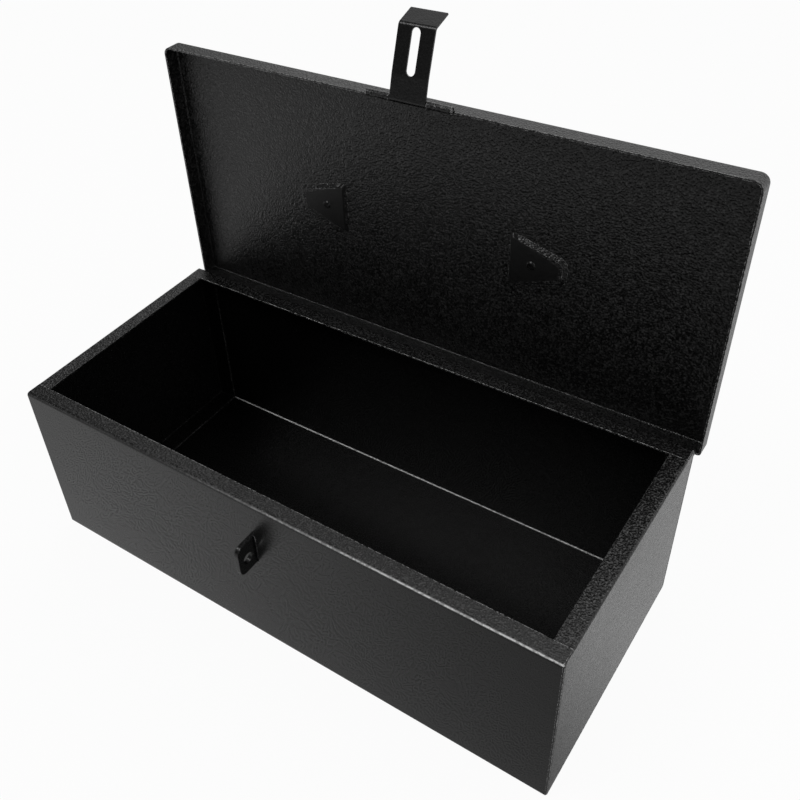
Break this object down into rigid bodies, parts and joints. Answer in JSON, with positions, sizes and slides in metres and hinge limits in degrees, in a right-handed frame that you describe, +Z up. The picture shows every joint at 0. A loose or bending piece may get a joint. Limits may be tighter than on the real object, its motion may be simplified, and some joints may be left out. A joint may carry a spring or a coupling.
{
  "type": "portable toolbox",
  "caption": "Small rectangular sheet-steel toolbox with a hinged pan lid, a slotted padlock hasp and staple, and a drop handle on the lid.",
  "frame": {"origin": "centre of the box's flat underside, on the surface it stands on", "axes": "+X along the box's length to its right end, +Y to the rear where the lid hinges, +Z up"},
  "size_m": [0.354, 0.1971, 0.308],
  "materials": {
    "black_coat": "satin powder coat with a fine orange-peel texture",
    "bare_steel": "drawn wire"
  },
  "bodies": {
    "box": {"body_wrap": "black_coat", "end_panel_left": "black_coat", "end_panel_right": "black_coat", "hinge_body_leaf": "black_coat", "hinge_pin": "bare_steel", "padlock_staple": "black_coat"},
    "lid": {"lid_shell": "black_coat", "hinge_lid_leaf": "black_coat", "hasp_pin": "bare_steel", "handle_lug_left": "black_coat", "handle_lug_right": "black_coat", "handle_rivets": "black_coat"},
    "hasp": {"hasp_strap": "black_coat"},
    "handle": {"handle_bail": "black_coat"}
  },
  "joints": [
    {"name": "lid_hinge", "type": "hinge", "parent": "box", "child": "lid", "pos_m": [0, 0.0834, 0.1035], "axis": [1, 0, 0], "range_deg": [0, 90]},
    {"name": "hasp_hinge", "type": "hinge", "parent": "lid", "child": "hasp", "pos_m": [-0.0025, 0.0839, 0.26835], "axis": [1, 0, 0], "range_deg": [-70, 104.5]},
    {"name": "handle_swing", "type": "hinge", "parent": "lid", "child": "handle", "pos_m": [0, 0.0995, 0.186], "axis": [1, 0, 0], "range_deg": [-2, 182]}
  ]
}
